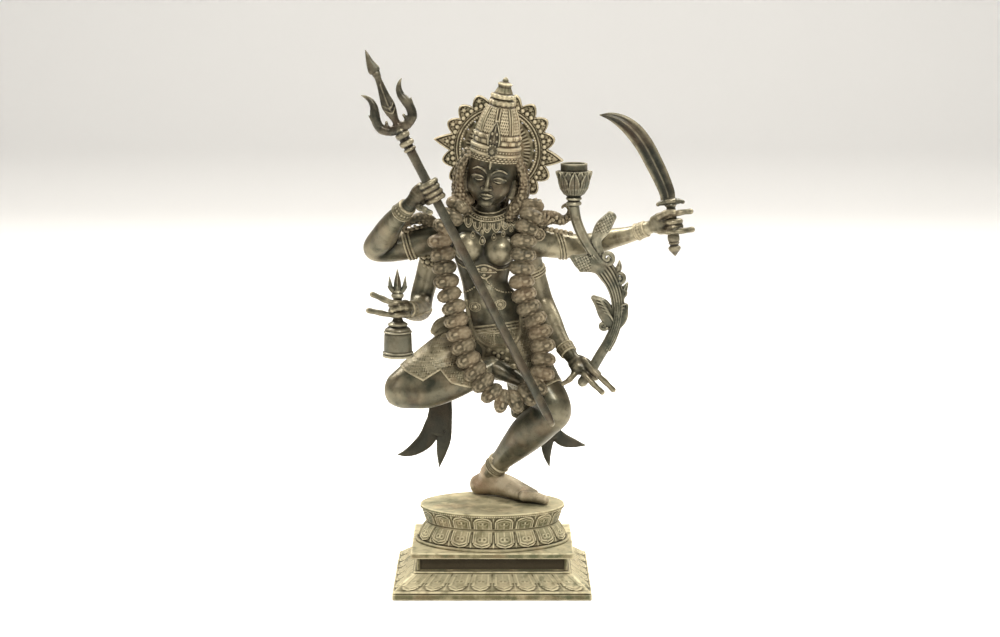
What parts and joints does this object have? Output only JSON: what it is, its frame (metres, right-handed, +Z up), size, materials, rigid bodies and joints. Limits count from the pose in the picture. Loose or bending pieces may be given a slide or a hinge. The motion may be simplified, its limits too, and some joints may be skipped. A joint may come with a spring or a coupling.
{
  "type": "kali figure",
  "caption": "Four-armed Kali dancing on one leg on an oval lotus pedestal, with trident, curved sword, bell and lotus stalk, a head garland, crown and halo.",
  "frame": {"origin": "centre of the pedestal's flat underside", "axes": "+Z up, +X to the viewer's right and the statue's left, +Y away from the viewer, towards the statue's back"},
  "size_m": [0.321, 0.148, 0.5394],
  "materials": {
    "figure_bronze": "dark green-brown patina with buff dust in the recesses",
    "implement_bronze": "dark green-grey patina, lightly rubbed on the edges",
    "pedestal_bronze": "olive patina with buff dust in the carving"
  },
  "bodies": {
    "root": {"pedestal": "pedestal_bronze", "figure": "figure_bronze", "trident": "implement_bronze", "sword": "implement_bronze", "bell": "implement_bronze", "lotus_stalk": "implement_bronze"}
  },
  "joints": []
}
